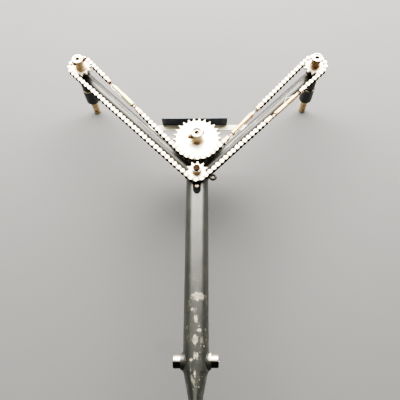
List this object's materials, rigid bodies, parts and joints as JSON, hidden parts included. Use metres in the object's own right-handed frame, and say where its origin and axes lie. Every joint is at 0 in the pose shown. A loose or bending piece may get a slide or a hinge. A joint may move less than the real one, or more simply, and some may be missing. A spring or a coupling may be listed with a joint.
{
  "type": "control yoke assembly",
  "caption": "Y-shaped control column with chain-coupled sprocket drives, turnbuckles, an idler and a cross pivot tube.",
  "frame": {"origin": "centre of the pivot tube, on the column's axis", "axes": "+X along the pivot tube, +Y up the column towards the wheel shafts, +Z from the bench towards the chain side"},
  "size_m": [0.6561, 0.9259, 0.2206],
  "materials": {
    "enamel": "semi-gloss enamel, worn and chipped",
    "cream_paint": "matt primer",
    "slate_paint": "matt",
    "white_plating": "satin plated steel",
    "gold_plating": "gold passivated plating",
    "shaft_steel": "satin, tanned with age",
    "bright_steel": "bright",
    "bolt_steel": "dark plated",
    "bronze": "sintered bronze",
    "chain_steel": "oiled steel",
    "barrel_brass": "dull brass",
    "fork_steel": "copper toned plating"
  },
  "bodies": {
    "column": {"column_tube": "enamel", "left_arm": "enamel", "right_arm": "enamel", "left_bearing_housing": "enamel", "right_bearing_housing": "enamel", "centre_bearing_housing": "enamel", "left_bushings": "bronze", "right_bushings": "bronze", "centre_bushings": "bronze", "arm_gusset": "enamel", "cross_brace": "cream_paint", "upright_plate": "slate_paint", "plate_bolts": "bolt_steel", "idler_bracket": "slate_paint", "idler_bolt": "bolt_steel", "bracket_screw": "bolt_steel", "ring_lug": "enamel", "pivot_boss": "enamel", "elevator_lever": "enamel", "lever_bushing": "bronze", "left_chain": "chain_steel", "right_chain": "chain_steel", "centre_chain": "chain_steel"},
    "centre_drive": {"centre_shaft": "shaft_steel", "centre_sprocket": "white_plating", "centre_hub": "gold_plating", "centre_cross_bolt": "bolt_steel", "centre_thrust_washer": "bright_steel", "centre_retaining_ring": "bright_steel"},
    "left_drive": {"left_shaft": "shaft_steel", "left_sprocket": "white_plating", "left_hub": "gold_plating", "left_cross_bolt": "bolt_steel", "left_thrust_washer": "bright_steel", "left_retaining_ring": "bright_steel"},
    "right_drive": {"right_shaft": "shaft_steel", "right_sprocket": "white_plating", "right_hub": "gold_plating", "right_cross_bolt": "bolt_steel", "right_thrust_washer": "bright_steel", "right_retaining_ring": "bright_steel"},
    "idler": {"idler_sprocket": "white_plating", "idler_hub": "white_plating"},
    "upper_left_turnbuckle": {"upper_left_barrel": "barrel_brass", "upper_left_forks": "fork_steel", "upper_left_pins": "fork_steel"},
    "upper_right_turnbuckle": {"upper_right_barrel": "barrel_brass", "upper_right_forks": "fork_steel", "upper_right_pins": "fork_steel"},
    "lower_right_turnbuckle": {"lower_right_barrel": "barrel_brass", "lower_right_forks": "fork_steel", "lower_right_pins": "fork_steel"},
    "pivot": {"pivot_tube": "bright_steel"}
  },
  "joints": [
    {"name": "centre_sprocket_turn", "type": "hinge", "parent": "column", "child": "centre_drive", "pos_m": [0, 0.4868, 0.036], "axis": [0, 0, 1], "range_deg": [0, 110.77], "deforming": ["left_chain", "right_chain", "centre_chain"]},
    {"name": "left_wheel_turn", "type": "hinge", "parent": "column", "child": "left_drive", "pos_m": [-0.297, 0.7028, 0.036], "axis": [0, 0, -1], "range_deg": [0, 222]},
    {"name": "right_wheel_turn", "type": "hinge", "parent": "column", "child": "right_drive", "pos_m": [0.297, 0.7028, 0.036], "axis": [0, 0, -1], "range_deg": [0, 222]},
    {"name": "idler_turn", "type": "hinge", "parent": "column", "child": "idler", "pos_m": [0, 0.4008, 0.036], "axis": [0, 0, -1], "range_deg": [0, 262.5]},
    {"name": "upper_left_turnbuckle_slide", "type": "slide", "parent": "column", "child": "upper_left_turnbuckle", "axis": [0.6628, -0.7488, 0], "range_m": [0, 0.102]},
    {"name": "upper_right_turnbuckle_slide", "type": "slide", "parent": "column", "child": "upper_right_turnbuckle", "axis": [0.6628, 0.7488, 0], "range_m": [0, 0.102]},
    {"name": "lower_right_turnbuckle_slide", "type": "slide", "parent": "column", "child": "lower_right_turnbuckle", "axis": [-0.7079, -0.7063, 0], "range_m": [0, 0.102]},
    {"name": "column_tilt", "type": "hinge", "parent": "column", "child": "pivot", "pos_m": [0, 0, 0], "axis": [1, 0, 0], "range_deg": [-15, 15]}
  ],
  "couplings": [
    {"joint": "left_wheel_turn", "follows": "centre_sprocket_turn", "ratio": 2},
    {"joint": "right_wheel_turn", "follows": "centre_sprocket_turn", "ratio": 2},
    {"joint": "idler_turn", "follows": "centre_sprocket_turn", "ratio": 2.3636},
    {"joint": "upper_left_turnbuckle_slide", "follows": "centre_sprocket_turn", "m_per_rad": 0.052553},
    {"joint": "upper_right_turnbuckle_slide", "follows": "centre_sprocket_turn", "m_per_rad": 0.052553},
    {"joint": "lower_right_turnbuckle_slide", "follows": "centre_sprocket_turn", "m_per_rad": 0.052553}
  ]
}
